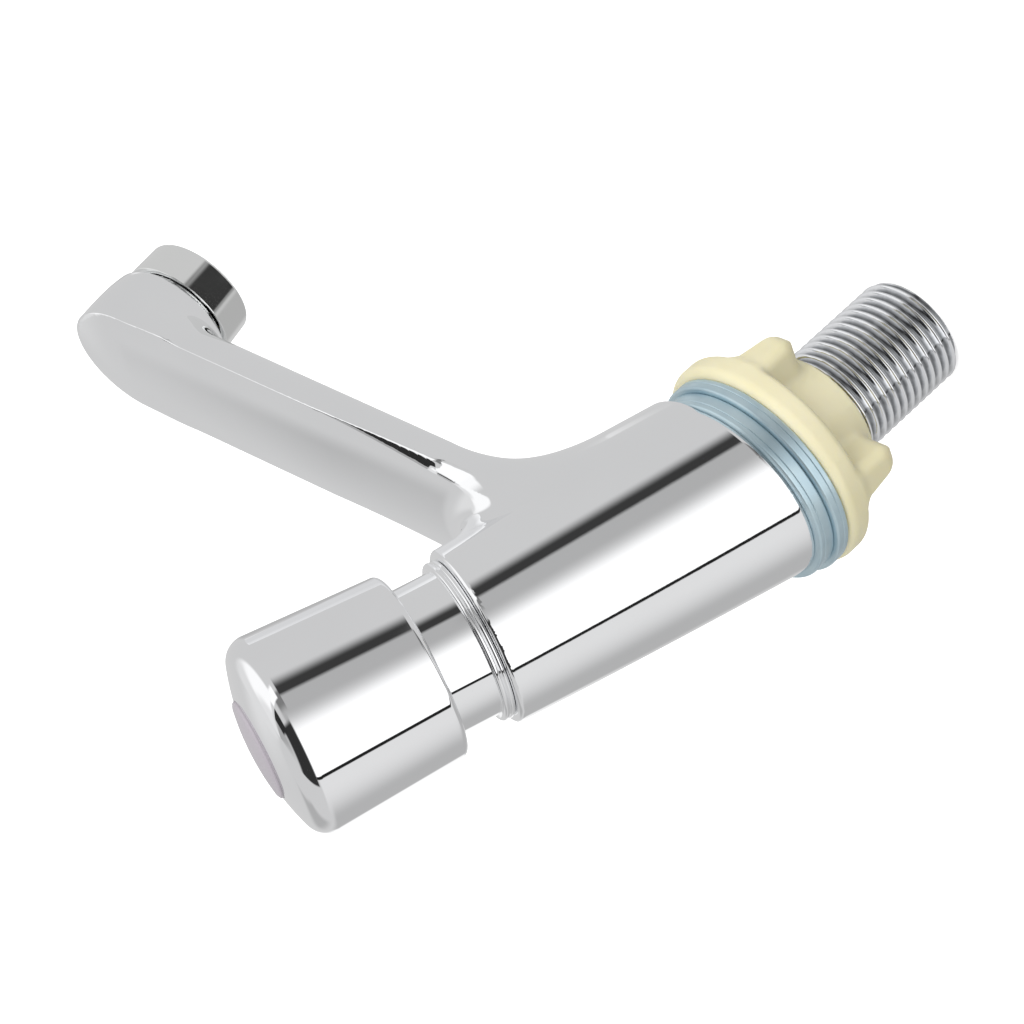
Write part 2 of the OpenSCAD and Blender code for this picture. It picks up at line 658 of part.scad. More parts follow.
module aerator_housing() color("gainsboro") at_outlet() difference() {
    rotate_extrude() polygon(concat(
        [[aerator_bore_r - lip_w, 0]],
        arc(aerator_r - 0.6, 0.6, 0.6, -90, 0, 3),
        [[aerator_seam_r, boss_w - 0.4], [aerator_seam_r - 0.2, boss_w - 0.15], [spigot_r, boss_w - 0.15],
            [spigot_r, washer_w], [aerator_bore_r - lip_w, washer_w]]
    ));
    translate([0, 0, lip_h]) cylinder(r = aerator_bore_r, h = washer_w);
    translate([0, 0, -1]) cylinder(r = aerator_bore_r - lip_w, h = washer_w + 2);
}

// The screen is a disc with a square net of gaps
module aerator_screen() color("gray") at_outlet(lip_h) linear_extrude(screen_t) difference() {
    circle(r = aerator_bore_r - fit);
    for (i = [-4:4], j = [-4:4]) if (norm([i, j]) * screen_pitch < aerator_bore_r - 1.4)
        translate([i * screen_pitch, j * screen_pitch]) square(screen_pitch - 0.5, center = true);
}

// The insert splits the flow: a cup with a ring of jets in its floor, over a cross of vanes
module aerator_insert() color("whitesmoke") at_outlet(insert_s) difference() {
    cylinder(r = aerator_bore_r - fit, h = insert_h);
    translate([0, 0, insert_h - 4]) cylinder(r = insert_wall_r, h = 5);
    for (k = [0:7]) rotate(45 * k) translate([0, 0, -1]) intersection() {
        tube(insert_wall_r, 2, insert_h - 4.5);
        rotate(-17) cube([10, 10, insert_h]);
        rotate(-73) cube([10, 10, insert_h]);
    }
    for (k = [0:11]) rotate(30 * k)
        translate([insert_wall_r - 2.4, 0, -1]) cylinder(r = 0.55, h = insert_h, $fn = 16);
}

module aerator_washer() color("dimgray") at_outlet(washer_w) tube(socket_r - fit, washer_hole_r, washer_t);

tap_body();
bonnet();
button_cap();
cap_badge();
cap_screw();
spindle();
spring_collar();
return_spring();
gland_bush();
gland_oring();
cartridge_body();
cartridge_oring();
bonnet_oring();
timing_piston();
lip_seal();
metering_pin();
valve_disc();
seat_washer();
jumper_nut();
inlet_strainer();
tail_shank();
washer_upper();
washer_lower();
wing_nut();
aerator_housing();
aerator_insert();
aerator_screen();
aerator_washer();
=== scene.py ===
"""A push timed basin tap: the looks of each piece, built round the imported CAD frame.

Sizes are in millimetres until a mesh is made. Stations s run along the leaning axis of the barrel, as in
the CAD source, and the spout's own frame has v towards the body and w up from the outlet's centre.
"""
from math import asin, ceil, cos, hypot, pi, radians, sin, tan

import bpy
import numpy as np
from mathutils import Matrix, Vector


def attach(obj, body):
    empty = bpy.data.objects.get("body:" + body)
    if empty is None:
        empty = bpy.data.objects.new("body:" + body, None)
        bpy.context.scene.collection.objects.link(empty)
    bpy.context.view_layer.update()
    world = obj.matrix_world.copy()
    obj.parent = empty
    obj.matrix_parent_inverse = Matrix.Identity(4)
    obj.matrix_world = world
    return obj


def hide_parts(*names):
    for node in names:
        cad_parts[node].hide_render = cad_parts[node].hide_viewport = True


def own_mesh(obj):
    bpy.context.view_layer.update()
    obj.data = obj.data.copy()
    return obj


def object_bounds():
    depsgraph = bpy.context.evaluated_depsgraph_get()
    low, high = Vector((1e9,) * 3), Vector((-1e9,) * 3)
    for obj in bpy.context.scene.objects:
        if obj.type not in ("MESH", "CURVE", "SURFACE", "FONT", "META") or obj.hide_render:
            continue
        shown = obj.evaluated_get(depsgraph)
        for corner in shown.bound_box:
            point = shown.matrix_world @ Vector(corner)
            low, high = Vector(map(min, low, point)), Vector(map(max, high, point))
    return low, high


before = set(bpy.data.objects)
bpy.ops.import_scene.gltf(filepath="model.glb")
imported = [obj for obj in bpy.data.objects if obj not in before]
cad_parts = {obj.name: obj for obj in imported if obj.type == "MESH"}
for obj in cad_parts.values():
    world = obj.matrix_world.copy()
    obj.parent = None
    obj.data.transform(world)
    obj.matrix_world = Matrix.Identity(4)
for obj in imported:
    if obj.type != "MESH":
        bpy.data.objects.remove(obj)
cad_box = [list(corner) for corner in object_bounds()]

# Tap body: one brass casting, polished and chrome plated. A conical barrel leans over a flat spout that
# rises to a round boss, and the nose under the spout runs down into the foot. A sweep can't give the soft
# joint of spout and barrel, so the skin is drawn through the zero of a distance field instead.
MM = 0.001
LEAN = radians(16.5)
LEAN_Z = 7.0
RISE = radians(12.1)
REACH = 105.5
OUTLET_Z = 28.5
FOOT_R = 17.8
BARREL_TOP_R = 15.7
BARREL_TOP_S = 44.5
RIM_ROUND = 0.8
FOOT_ROUND = 0.4
LOFT_Y = (BARREL_TOP_S + LEAN_Z * cos(LEAN)) / sin(LEAN)
LOFT_SLOPE = BARREL_TOP_S * sin(LEAN) / (LEAN_Z + BARREL_TOP_S * cos(LEAN))
HALF_W = 12.5
SLAB_H = 9.0
SLAB_POWER = 2.5
NOSE_POWER = 2.0
CROWN = 1.2
CROWN_LIMIT = -0.5
CREASE_H = 20.5
CREASE_LEAN = 1.4
CREASE_REACH = 1.5
BOSS_H = 13.0
BOSS_DEPTH = 20.0
BOSS_POWER = 3
BOSS_LIMIT = 0.9
BOSS_ROUND = 1.8
BOSS_SEAM = 0.01
BOSS_FILLET = 6.0
BOSS_FILLET_END = 11.0
UNDER_R = 22.0
WEDGE_START = 42.0
WEDGE_SLOPE = 0.038
WEDGE_TILT = (radians(41), radians(58))
WEDGE_SPAN = (66.5, 68.5)
ROOT_LIFT = 0.8
ROOT_START = 45.0
ROOT_RUN = 25.0
ROOT_LIMIT = 1.3
ROOT_SOFT = 2.0
ROOT_SPAN = (79.0, 85.0)
NOSE_OFF = 20.5
JOINT_FILLET = 8.0
JOINT_SEAM = 1.5
JOINT_FRONT = (4.0, 13.0)
VALVE_BORE_R = 10.2
VALVE_BORE_S = 6.2
BARREL_BORE_R = 12.0
BARREL_BORE_S = 34.0
TAIL_SOCKET_R = 10.56
TAIL_SOCKET_Z = 8.7
INLET_R = 6.0
INLET_SPAN = (7.0, 17.0)
OUTLET_SOCKET_R = 9.2
OUTLET_SOCKET_W = 15.2
WATERWAY_R = 3.0
WATERWAY_W = 16.2
WATERWAY_V = 91.0
SPOUT_TURN = pi / 2 - LEAN - RISE
AXIS_V = REACH * cos(RISE) - (LEAN_Z - OUTLET_Z) * sin(RISE)
AXIS_W = REACH * sin(RISE) + (LEAN_Z - OUTLET_Z) * cos(RISE)
HOLLOW_W = CREASE_H - SLAB_H - UNDER_R
HOLLOW_V = AXIS_V - (NOSE_OFF + UNDER_R + (HOLLOW_W - AXIS_W) * cos(SPOUT_TURN)) / sin(SPOUT_TURN)
CUT_EDGE = 0.02
SHINE_EDGE = 0.28
GRID_X = (-18.6, 18.6)
GRID_Y = (-121, 19.5)
GRID_Z = (-1, 56)
BODY_CELL = 0.57
CREASE_CELL = (0.22, 0.36)
CREASE_SIDE = (11.4, 13.3)
CREASE_RISE = (33.0, 49.5)
CROSSING_STEPS = 5
CROSSING_MARGIN = 0.02
PLANE_HOLD = 0.02
CELL_SLACK = 0.05


def blend_min(a, b, k):
    """The nearer of two fields, with a fillet of depth k where they meet."""
    near = np.maximum(k - np.abs(a - b), 0) / k
    return np.minimum(a, b) - near * near * k / 4


def round_max(a, b, r):
    """The overlap of two fields, with its edge rounded to the radius r."""
    return np.minimum(-r, np.maximum(a, b)) + np.hypot(np.maximum(a + r, 0), np.maximum(b + r, 0))


def ease(x, start, end):
    """Rises smoothly from 0 at the start to 1 at the end."""
    t = np.clip((x - start) / (end - start), 0, 1)
    return t * t * (3 - 2 * t)


def barrel_field(x, y, z):
    """Circles on planes that turn from the level foot to the leaning rim, with their centres on a line."""
    angle = np.arctan2(z, y + LOFT_Y)
    centre = LOFT_Y / (np.cos(angle) + LOFT_SLOPE * np.sin(angle))
    radius = FOOT_R + (BARREL_TOP_R - FOOT_R) * angle / LEAN
    side = np.hypot(x, np.hypot(y + LOFT_Y, z) - centre) - radius
    return round_max(side, -y * sin(LEAN) + (z - LEAN_Z) * cos(LEAN) - BARREL_TOP_S, RIM_ROUND)


def spout_field(x, v, w, edge):
    """A slab with a crowned top and a superellipse below, which an arc turns down into the nose. The crease
    between them has a bevel that grows towards the barrel."""
    dv, dw = v - HOLLOW_V, w - HOLLOW_W
    angle = np.clip(np.arctan2(dv, dw), 0, SPOUT_TURN)
    angle = np.where((dw < 0) & (dv < 0), 0, angle)
    in_arc = (angle > 0) & (angle < SPOUT_TURN)
    height = np.where(in_arc, np.hypot(dv, dw), dv * np.sin(angle) + dw * np.cos(angle)) - UNDER_R
    share = angle / SPOUT_TURN
    depth = SLAB_H + (HALF_W - SLAB_H) * share
    power = SLAB_POWER + (NOSE_POWER - SLAB_POWER) * share
    across = np.hypot(x, np.minimum(v, 0)) / HALF_W
    below = np.maximum(0, 1 - height / depth)
    slab = HALF_W * ((across ** power + below ** power) ** (1 / power) - 1)
    boss_share = np.clip((CREASE_H - w) / BOSS_DEPTH, 0, BOSS_LIMIT)
    boss_r = HALF_W * (1 - boss_share ** BOSS_POWER) ** (1 / BOSS_POWER)
    boss = round_max(np.hypot(x, v) - boss_r, CREASE_H - BOSS_H - w, BOSS_ROUND)
    lower = blend_min(slab, boss, BOSS_SEAM + BOSS_FILLET * ease(v, 0, BOSS_FILLET_END))
    lift = ROOT_LIFT * np.clip((v - ROOT_START) / ROOT_RUN, 0, ROOT_LIMIT) ** 2
    top = w - CREASE_H - lift - CROWN * np.maximum(1 - across ** 2, CROWN_LIMIT)
    edge = edge + ROOT_SOFT * ease(v, *ROOT_SPAN)
    near_crease = np.maximum(0, 1 - np.abs(top) / CREASE_REACH)
    crease = round_max(top, lower * (1 + CREASE_LEAN * near_crease), edge)
    facing = WEDGE_TILT[0] + (WEDGE_TILT[1] - WEDGE_TILT[0]) * ease(v, *WEDGE_SPAN)
    bevel = top * np.cos(facing) + lower * np.sin(facing) + WEDGE_SLOPE * (v - WEDGE_START)
    end = (v - AXIS_V) * sin(SPOUT_TURN) + (w - AXIS_W) * cos(SPOUT_TURN)
    return np.maximum(round_max(crease, bevel, edge), end)


def body_field(x, y, z, edge=CUT_EDGE):
    """The casting with its bores, below zero inside the metal. The edge rounds the spout's crease."""
    v = (y + REACH) * cos(RISE) - (z - OUTLET_Z) * sin(RISE)
    w = (y + REACH) * sin(RISE) + (z - OUTLET_Z) * cos(RISE)
    front = (AXIS_V - v) * sin(SPOUT_TURN) + (AXIS_W - w) * cos(SPOUT_TURN)
    fillet = JOINT_SEAM + (JOINT_FILLET - JOINT_SEAM) * ease(front, *JOINT_FRONT)
    cast = blend_min(barrel_field(x, y, z), spout_field(x, v, w, edge), fillet)
    cast = round_max(cast, -z, FOOT_ROUND)
    s = -y * sin(LEAN) + (z - LEAN_Z) * cos(LEAN)
    lean_r = np.hypot(x, y * cos(LEAN) + (z - LEAN_Z) * sin(LEAN))
    upright_r = np.hypot(x, y)
    holes = [
        np.maximum(lean_r - VALVE_BORE_R, VALVE_BORE_S - s),
        np.maximum(lean_r - BARREL_BORE_R, BARREL_BORE_S - s),
        np.maximum(upright_r - TAIL_SOCKET_R, z - TAIL_SOCKET_Z),
        np.maximum(upright_r - INLET_R, np.maximum(INLET_SPAN[0] - z, z - INLET_SPAN[1])),
        np.maximum(np.hypot(x, v) - OUTLET_SOCKET_R, w - OUTLET_SOCKET_W),
        np.maximum(np.hypot(x, w - WATERWAY_W) - WATERWAY_R, np.maximum(-v, v - WATERWAY_V)),
    ]
    return np.maximum(cast, -np.minimum.reduce(holes))


def slope(field, points, step=0.01):
    """The unit vectors along which a field grows, from differences either side of each point."""
    ahead = [field(*(points + step * axis).T) - field(*(points - step * axis).T) for axis in np.eye(3)]
    grown = np.stack(ahead, 1)
    return grown / np.maximum(np.linalg.norm(grown, axis=1, keepdims=True), 1e-9)


def grid_lines(low, high, cell, fine_cell=0, fine_spans=()):
    """Lines of a grid from low to high, a cell apart, and closer inside the fine spans."""
    lines = [low]
    while lines[-1] < high:
        fine = any(start <= lines[-1] < end for start, end in fine_spans)
        lines.append(lines[-1] + (fine_cell if fine else cell))
    return np.array(lines)


def skin(field, axes):
    """Dual contouring: one point in each cell that the zero of the field crosses, where the planes of its
    crossings meet best, and one face round each edge of the grid that it crosses."""
    shape = np.array([len(axis) for axis in axes])
    values = field(*np.meshgrid(*axes, indexing="ij"))
    stride = np.array([shape[1] * shape[2], shape[2], 1])
    quads, points, planes = [], [], []
    for i in range(3):
        near = tuple(slice(None, -1) if k == i else slice(None) for k in range(3))
        far = tuple(slice(1, None) if k == i else slice(None) for k in range(3))
        crossed = (values[near] < 0) != (values[far] < 0)
        edges = np.argwhere(crossed)
        a, b = values[near][crossed], values[far][crossed]
        leaves = a >= 0
        start = np.stack([axes[k][edges[:, k]] for k in range(3)], 1)
        step = np.diff(axes[i])[edges[:, i], None] * np.eye(3)[i]
        ta, tb = np.zeros(len(a)), np.ones(len(a))
        for _ in range(CROSSING_STEPS):
            t = ta + (tb - ta) * np.clip(a / (a - b), CROSSING_MARGIN, 1 - CROSSING_MARGIN)
            middle = field(*(start + t[:, None] * step).T)
            same = (middle < 0) == (a < 0)
            ta, a = np.where(same, t, ta), np.where(same, middle, a)
            tb, b = np.where(same, tb, t), np.where(same, b, middle)
        t = ta + (tb - ta) * np.clip(a / (a - b), 0, 1)
        crossing = start + t[:, None] * step
        j, k = np.eye(3, dtype=int)[(i + 1) % 3], np.eye(3, dtype=int)[(i + 2) % 3]
        cells = np.stack([(edges - shift) @ stride for shift in (0 * j, j, j + k, k)], 1)
        cells[leaves] = cells[leaves][:, ::-1]
        quads.append(cells)
        points.append(np.repeat(crossing, 4, 0))
        planes.append(np.repeat(slope(field, crossing), 4, 0))
    quads, points, planes = (np.concatenate(part) for part in (quads, points, planes))
    used, owner = np.unique(quads, return_inverse=True)
    owner = owner.reshape(-1)
    count = np.bincount(owner)
    centre = np.stack([np.bincount(owner, points[:, k]) / count for k in range(3)], 1)
    gap = np.einsum("ij,ij->i", planes, points - centre[owner])
    pull = np.stack([np.bincount(owner, planes[:, k] * gap) for k in range(3)], 1)
    spread = np.empty((len(used), 3, 3))
    for k in range(9):
        spread[:, k // 3, k % 3] = np.bincount(owner, planes[:, k // 3] * planes[:, k % 3])
    corner = centre + np.linalg.solve(spread + PLANE_HOLD * np.eye(3), pull[:, :, None])[:, :, 0]
    index = np.unravel_index(used, shape)
    cell_low = np.stack([axes[k][index[k]] for k in range(3)], 1)
    size = np.stack([np.diff(axes[k])[index[k]] for k in range(3)], 1)
    corner = np.clip(corner, cell_low - CELL_SLACK * size, cell_low + (1 + CELL_SLACK) * size)
    return corner, owner.reshape(-1, 4)


def mesh_piece(name, points, faces, normals, material):
    """A smooth mesh from points in millimetres, with the normals that the polished surface has."""
    mesh = bpy.data.meshes.new(name)
    mesh.from_pydata((points * MM).tolist(), [], faces)
    mesh.shade_smooth()
    mesh.normals_split_custom_set_from_vertices(normals.tolist())
    mesh.materials.append(material)
    piece = bpy.data.objects.new(name, mesh)
    bpy.context.scene.collection.objects.link(piece)
    return piece


class Value:
    """A shader value. The sums written on it add Math nodes."""

    def __init__(self, nodes, socket):
        self.nodes = nodes
        self.socket = socket

    def sum(self, operation, *values):
        return self.nodes.add("ShaderNodeMath", {"operation": operation}, dict(enumerate(values)))

    def __add__(self, other):
        return self.sum("ADD", self, other)

    def __sub__(self, other):
        return self.sum("SUBTRACT", self, other)

    def __rsub__(self, other):
        return self.sum("SUBTRACT", other, self)

    def __mul__(self, other):
        return self.sum("MULTIPLY", self, other)

    def __mod__(self, other):
        return self.sum("FLOORED_MODULO", self, other)

    __radd__ = __add__
    __rmul__ = __mul__


class Nodes:
    """The node tree of a material or of the world."""

    def __init__(self, owner):
        self.owner = owner
        owner.use_nodes = True
        self.tree = owner.node_tree
        self.tree.nodes.clear()

    def add(self, kind, settings, sockets, output=0):
        """Adds a node, its settings first, then the values or links of its sockets."""
        node = self.tree.nodes.new(kind)
        for key, value in settings.items():
            setattr(node, key, value)
        for key, value in sockets.items():
            if isinstance(value, Value):
                self.tree.links.new(value.socket, node.inputs[key])
            else:
                node.inputs[key].default_value = value
        return Value(self, node.outputs[output])

    def place(self):
        """The point on the surface, in the tap's own frame and in metres."""
        return self.add("ShaderNodeTexCoord", {}, {}, "Object")

    def noise(self, where, scale, detail=3.0, rough=0.5):
        return self.add("ShaderNodeTexNoise", {}, {"Vector": where, "Scale": scale, "Detail": detail,
                                                   "Roughness": rough})

    def along(self, where, direction):
        """How far a point lies along a direction."""
        settings = {"operation": "DOT_PRODUCT"}
        return self.add("ShaderNodeVectorMath", settings, {0: where, 1: direction}, "Value")

    def off_axis(self, where):
        """How far a point lies off the z axis."""
        flat = self.add("ShaderNodeVectorMath", {"operation": "MULTIPLY"}, {0: where, 1: (1, 1, 0)})
        return self.add("ShaderNodeVectorMath", {"operation": "LENGTH"}, {0: flat}, "Value")

    def between(self, value, low, high, start=0.0, end=1.0):
        """Rises smoothly from start to end while the value goes from low to high."""
        return self.add("ShaderNodeMapRange", {"interpolation_type": "SMOOTHSTEP"},
                        {"Value": value, "From Min": low, "From Max": high, "To Min": start, "To Max": end})

    def mix(self, share, first, second):
        return self.add("ShaderNodeMix", {"data_type": "RGBA"}, {0: share, 6: first, 7: second}, 2)

    def bump(self, height, distance):
        return self.add("ShaderNodeBump", {}, {"Height": height, "Distance": distance, "Strength": 1.0})

    def surface(self, sockets):
        """Ends the material in one Principled BSDF with these sockets."""
        shader = self.add("ShaderNodeBsdfPrincipled", {}, sockets)
        self.add_output("ShaderNodeOutputMaterial", shader)

    def add_output(self, kind, shader):
        output = self.tree.nodes.new(kind)
        self.tree.links.new(shader.socket, output.inputs["Surface"])


def chrome(name, tint, swirl, haze):
    """Chrome plate: a mirror with the faint swirls that the polishing wheel leaves."""
    nodes = Nodes(bpy.data.materials.new(name))
    where = nodes.place()
    marks = nodes.noise(where, 260.0, 6.0, 0.65)
    cloud = nodes.noise(where, 45.0, 2.0)
    dim = tuple(0.985 * c for c in tint) + (1.0,)
    nodes.surface({
        "Base Color": nodes.mix(nodes.between(cloud, 0.35, 0.65), dim, tint + (1.0,)),
        "Metallic": 1.0,
        "Roughness": haze + nodes.between(marks, 0.45, 0.8) * (0.6 * haze),
        "Normal": nodes.bump(marks, swirl * MM),
    })
    return bpy.data.materials[name]


mirror_side = (-CREASE_SIDE[1], -CREASE_SIDE[0])
body_grid = [
    grid_lines(*GRID_X, BODY_CELL, CREASE_CELL[0], (mirror_side, CREASE_SIDE)),
    grid_lines(*GRID_Y, BODY_CELL),
    grid_lines(*GRID_Z, BODY_CELL, CREASE_CELL[1], (CREASE_RISE,)),
]
body_points, body_quads = skin(body_field, body_grid)
body_shine = slope(lambda x, y, z: body_field(x, y, z, SHINE_EDGE), body_points)
body_chrome = chrome("body_chrome", (0.925, 0.93, 0.94), 0.004, 0.03)
body_skin = mesh_piece("body_skin", body_points, body_quads.tolist(), body_shine, body_chrome)
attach(body_skin, "tap")
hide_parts("tap_body")

# Aerator: a chromed collar pushed into the boss under the spout's tip, with a lip that holds a fine steel
# screen, a white plastic insert that splits the flow, and a rubber washer that seals it.
HOUSING_R = 10.55
HOUSING_SEAM_R = 10.95
HOUSING_SEAM_W = 7.1
SPIGOT_R = 9.1
SPIGOT_W = 13.8
HOUSING_BORE_R = 8.0
LIP_R = 7.2
LIP_H = 0.6
STEP_R = 0.3
STEP_W = 0.2
SPOUT_AT = np.array([0, -REACH, OUTLET_Z])
ARC_STEP = radians(9.0)


def outline(corners):
    """A closed outline through (radius, height, rounding) corners, each rounded by an arc."""
    corners = np.array(corners, float)
    points = []
    for before, here, after in zip(np.roll(corners, 1, 0), corners, np.roll(corners, -1, 0)):
        back, ahead = before[:2] - here[:2], after[:2] - here[:2]
        back, ahead = back / hypot(*back), ahead / hypot(*ahead)
        cross, half = back[0] * ahead[1] - back[1] * ahead[0], (back + ahead) / 2
        if here[2] == 0 or abs(cross) < 1e-6:
            points.append(here[None, :2])
            continue
        opening = 2 * asin(min(1, hypot(*(back - ahead)) / 2))
        centre = here[:2] + half / hypot(*half) * here[2] / sin(opening / 2)
        start = here[:2] + back * here[2] / tan(opening / 2) - centre
        swing = -np.sign(cross) * (pi - opening)
        angles = np.linspace(0, swing, ceil(abs(swing) / ARC_STEP) + 1)
        c, s = np.cos(angles), np.sin(angles)
        points.append(centre + np.stack([start[0] * c - start[1] * s, start[0] * s + start[1] * c], 1))
    return np.concatenate(points)


def round_normals(points, quads):
    """At each point, the sum of the area vectors of the faces round it."""
    a, b, c, d = points[quads].transpose(1, 0, 2)
    normals = np.zeros_like(points)
    np.add.at(normals, quads, np.cross(c - a, d - b)[:, None])
    return normals / np.linalg.norm(normals, axis=1, keepdims=True)


def wrapped(grid):
    """Points, faces and normals of a grid that closes on itself both ways. A row on the axis becomes one
    point."""
    rows, columns = grid.shape[:2]
    index = np.arange(rows * columns).reshape(rows, columns)
    pole = np.hypot(grid[:, :, 0], grid[:, :, 1]).max(1) < 1e-6
    index[pole] = index[pole][:, :1]
    ring = np.roll(index, -1, 1)
    quads = np.stack([index, ring, np.roll(ring, -1, 0), np.roll(index, -1, 0)], -1)
    quads = quads[~(pole & np.roll(pole, -1))].reshape(-1, 4)
    used, quads = np.unique(quads, return_inverse=True)
    points, quads = grid.reshape(-1, 3)[used], quads.reshape(-1, 4)
    return points, [list(dict.fromkeys(face)) for face in quads.tolist()], round_normals(points, quads)


def turned(profile, columns):
    """An outline of (radius, height) points carried round the z axis."""
    angle = np.linspace(0, 2 * pi, columns, endpoint=False)
    radius, height = profile[:, :1], profile[:, 1:] + 0 * angle
    return wrapped(np.stack([radius * np.cos(angle), radius * np.sin(angle), height], -1))


def tilt(points, normals, angle, place):
    """Turns points and normals about the x axis, then moves the points to their place."""
    turn = np.array([[1, 0, 0], [0, cos(angle), sin(angle)], [0, -sin(angle), cos(angle)]])
    return points @ turn + place, normals @ turn


def lathe(name, profile, angle, place, material, columns=256):
    """A turned piece, tilted about the x axis and put in its place."""
    points, faces, normals = turned(profile, columns)
    points, normals = tilt(points, normals, angle, place)
    return mesh_piece(name, points, faces, normals, material)


def dress(node, material):
    """Gives a CAD node its material."""
    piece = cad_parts[node]
    piece.data.materials.clear()
    piece.data.materials.append(material)


def moulded(name, colour, gloss, grain):
    """Moulded plastic or rubber: an even colour, with the fine grain of the mould."""
    nodes = Nodes(bpy.data.materials.new(name))
    where = nodes.place()
    fine = nodes.noise(where, 900.0, 4.0, 0.6)
    cloud = nodes.noise(where, 120.0)
    dark = tuple(0.9 * c for c in colour) + (1.0,)
    nodes.surface({
        "Base Color": nodes.mix(nodes.between(cloud, 0.3, 0.7), dark, colour + (1.0,)),
        "Roughness": gloss + fine * 0.12,
        "Normal": nodes.bump(fine, grain * MM),
    })
    return bpy.data.materials[name]


def metal(name, colour, gloss, pitch, direction):
    """Turned metal: fine tool lines that follow the cut, across the direction of the axis."""
    nodes = Nodes(bpy.data.materials.new(name))
    where = nodes.place()
    along = nodes.along(where, direction)
    line = nodes.add("ShaderNodeTexNoise", {"noise_dimensions": "1D"},
                     {"W": along, "Scale": 1000.0 / pitch, "Detail": 2.0})
    cloud = nodes.noise(where, 150.0)
    dark = tuple(0.82 * c for c in colour) + (1.0,)
    nodes.surface({
        "Base Color": nodes.mix(nodes.between(cloud, 0.3, 0.7), dark, colour + (1.0,)),
        "Metallic": 1.0,
        "Roughness": gloss + line * 0.15,
        "Normal": nodes.bump(line, 0.01 * MM),
    })
    return bpy.data.materials[name]


housing_profile = outline([
    (LIP_R, 0, 0.15), (HOUSING_R, 0, 0.6), (HOUSING_SEAM_R, HOUSING_SEAM_W, 0.12),
    (SPIGOT_R + STEP_R, HOUSING_SEAM_W + STEP_W, 0.1), (SPIGOT_R, SPIGOT_W, 0.3),
    (HOUSING_BORE_R, SPIGOT_W, 0.2), (HOUSING_BORE_R, LIP_H, 0.1), (LIP_R, LIP_H, 0.1),
])
aerator_chrome = chrome("aerator_chrome", (0.90, 0.905, 0.90), 0.002, 0.06)
aerator_collar = lathe("aerator_collar", housing_profile, -RISE, SPOUT_AT, aerator_chrome)
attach(aerator_collar, "tap")
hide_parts("aerator_housing")

OUTLET_DIRECTION = (0, sin(RISE), cos(RISE))
LEAN_DIRECTION = (0, -sin(LEAN), cos(LEAN))
white_acetal = moulded("white_acetal", (0.84, 0.84, 0.79), 0.35, 0.01)
black_rubber = moulded("black_rubber", (0.025, 0.025, 0.027), 0.55, 0.02)
screen_steel = metal("screen_steel", (0.62, 0.62, 0.63), 0.28, 0.2, OUTLET_DIRECTION)
dress("aerator_screen", screen_steel)
dress("aerator_insert", white_acetal)
dress("aerator_washer", black_rubber)

# Valve cartridge: a turned brass barrel with the valve seat, the outlet ports and the timing chamber, the
# spindle with its piston, seal and jumper, a white strainer basket below, and a gland bush on top.
brass = metal("turned_brass", (0.76, 0.56, 0.26), 0.22, 0.15, LEAN_DIRECTION)
steel = metal("turned_steel", (0.60, 0.60, 0.61), 0.2, 0.12, LEAN_DIRECTION)
for brass_node in ("cartridge_body", "spindle", "valve_disc", "jumper_nut"):
    dress(brass_node, brass)
for steel_node in ("metering_pin", "spring_collar", "cap_screw"):
    dress(steel_node, steel)
for acetal_node in ("timing_piston", "gland_bush", "inlet_strainer"):
    dress(acetal_node, white_acetal)
for rubber_node in ("cartridge_oring", "gland_oring", "bonnet_oring", "lip_seal", "seat_washer"):
    dress(rubber_node, black_rubber)

# Return spring: stainless wire wound in seven turns, with nearly flat ends that rest on the gland and on
# the spindle's collar.
WIRE_R = 0.6
COIL_R = 5.9
COIL_TURNS = 7
COIL_STEPS = 48
WIRE_SIDES = 16
END_TURN = 0.6
END_GAP = 0.02
END_CLIMB = 0.06
SPRING_S = 45.0
SPRING_L = 21.0
AXIS_AT = np.array([0, 0, LEAN_Z])


def spring_wire():
    """A round wire carried along a coil: nearly flat at its two ends, with an even climb between them."""
    turn = np.linspace(0, COIL_TURNS, COIL_TURNS * COIL_STEPS + 1)[:, None]
    climb = SPRING_L - 2 * (WIRE_R + END_GAP)
    share = np.clip((turn - END_TURN) / (COIL_TURNS - 2 * END_TURN), 0, 1)
    height = WIRE_R + END_GAP + climb * ((1 - END_CLIMB) * share + END_CLIMB * turn / COIL_TURNS)
    around = np.linspace(0, 2 * pi, WIRE_SIDES, endpoint=False)
    angle = 2 * pi * turn
    radius = COIL_R + WIRE_R * np.cos(around)
    grid = np.stack([radius * np.cos(angle), radius * np.sin(angle), height + WIRE_R * np.sin(around)], -1)
    index = np.arange(grid.size // 3).reshape(grid.shape[:2])
    ring = np.roll(index, -1, 1)
    quads = np.stack([index[:-1], index[1:], ring[1:], ring[:-1]], -1).reshape(-1, 4)
    points = grid.reshape(-1, 3)
    ends = [index[0].tolist(), index[-1, ::-1].tolist()]
    return points, quads.tolist() + ends, round_normals(points, quads)


coil_foot = AXIS_AT + SPRING_S * np.array(LEAN_DIRECTION)
coil_points, coil_faces, coil_normals = spring_wire()
coil_points, coil_normals = tilt(coil_points, coil_normals, LEAN, coil_foot)
wire_steel = metal("spring_steel", (0.55, 0.55, 0.57), 0.3, 0.3, LEAN_DIRECTION)
coil = mesh_piece("spring_coil", coil_points, coil_faces, coil_normals, wire_steel)
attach(coil, "tap")
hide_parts("return_spring")
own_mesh(coil)

